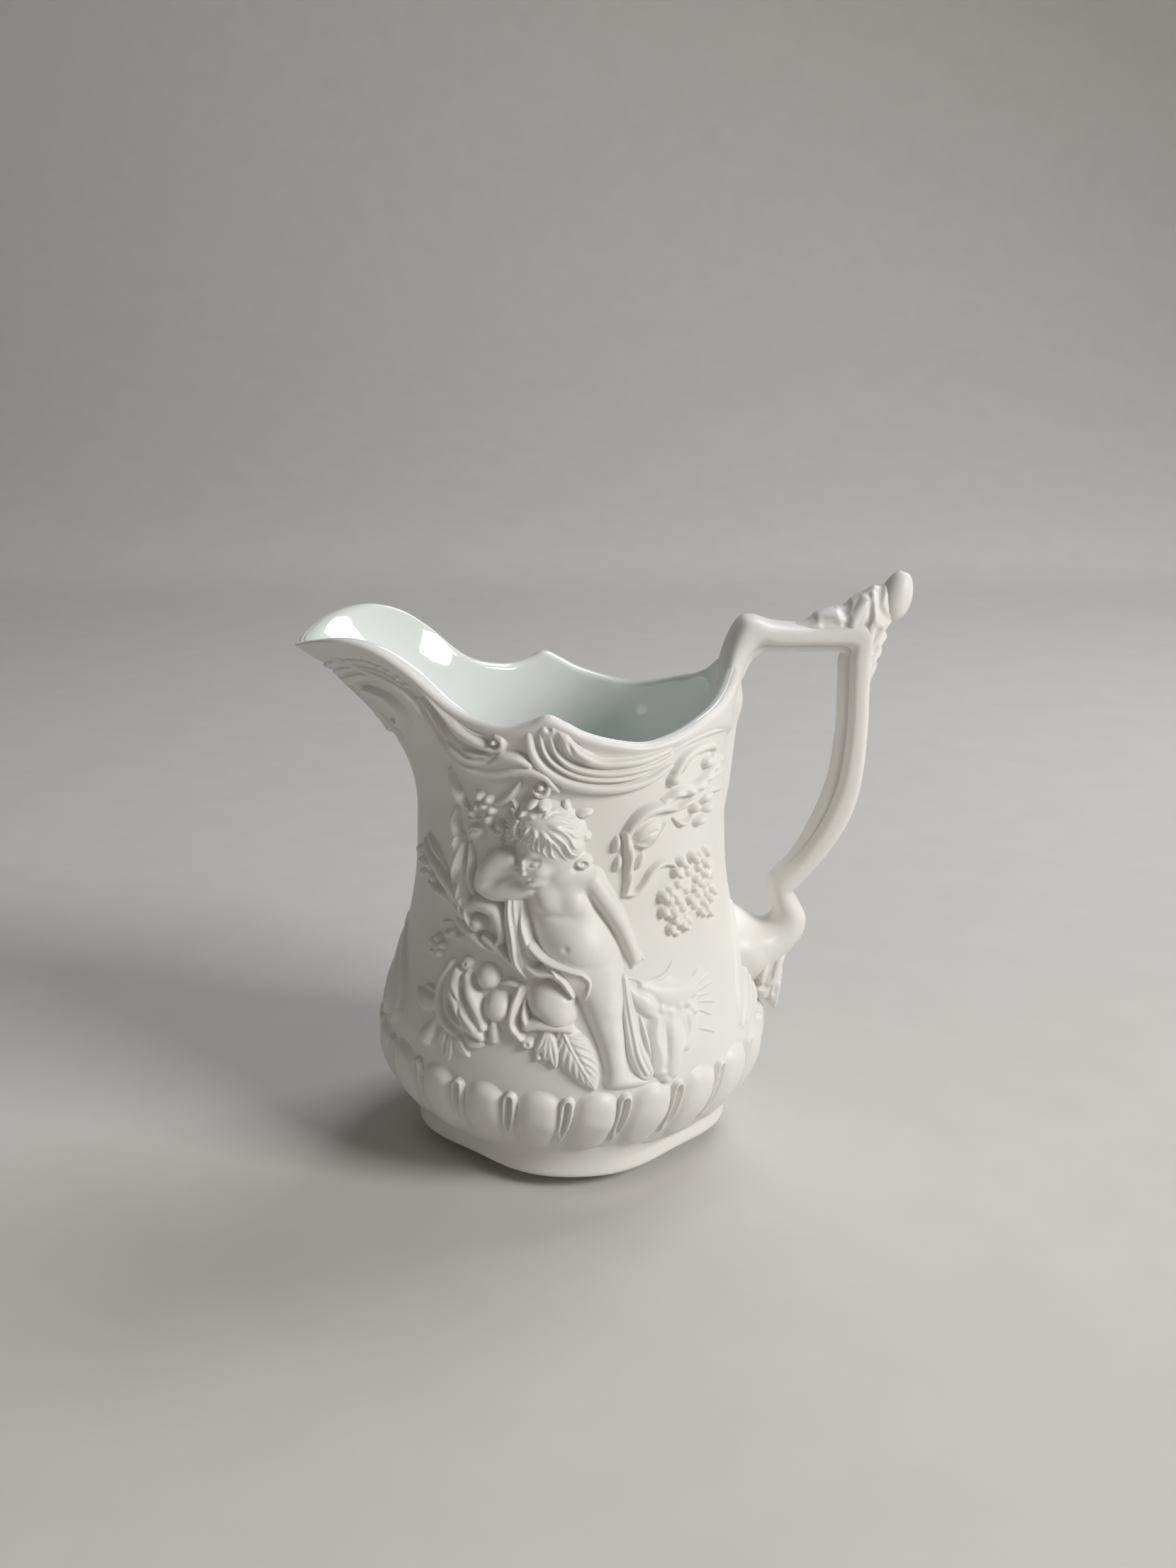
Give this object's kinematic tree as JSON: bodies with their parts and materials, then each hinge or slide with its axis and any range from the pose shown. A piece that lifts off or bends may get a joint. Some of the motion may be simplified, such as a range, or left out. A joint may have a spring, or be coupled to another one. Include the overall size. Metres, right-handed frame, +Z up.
{
  "type": "cream jug",
  "caption": "Small pear-shaped bisque porcelain cream jug with a lipped spout, square-shouldered handle, lobed foot and moulded classical relief.",
  "frame": {"origin": "centre of the foot ring's underside, on the table plane, on the body's axis", "axes": "+Z up along the body's axis, -X towards the spout, +X towards the handle, -Y towards the front relief"},
  "size_m": [0.1206, 0.08, 0.115],
  "materials": {
    "bisque": "matte unglazed bisque, faintly waxy",
    "glaze": "clear gloss glaze over white porcelain, pale grey-green"
  },
  "bodies": {
    "root": {"body_shell": "bisque", "glaze_lining": "glaze", "foot_ring": "bisque", "gadroon_eggs": "bisque", "gadroon_tongues": "bisque", "rim_scroll_front": "bisque", "rim_scroll_back": "bisque", "spout_scroll_front": "bisque", "spout_scroll_back": "bisque", "spout_beading": "bisque", "spout_cartouche": "bisque", "handle_bar": "bisque", "handle_rib": "bisque", "thumb_bud": "bisque", "thumb_leaves": "bisque", "terminal_leaf": "bisque", "handle_blade_leaves": "bisque", "putto_front": "bisque", "putto_back": "bisque", "drapery_front": "bisque", "drapery_back": "bisque", "tree_front": "bisque", "tree_back": "bisque", "blossoms_front": "bisque", "blossoms_back": "bisque", "vine_bough_front": "bisque", "vine_bough_back": "bisque", "grapes_front": "bisque", "grapes_back": "bisque", "fruit_front": "bisque", "fruit_back": "bisque", "foot_leaves_front": "bisque", "foot_leaves_back": "bisque", "hanging_skin_front": "bisque", "hanging_skin_back": "bisque"}
  },
  "joints": []
}
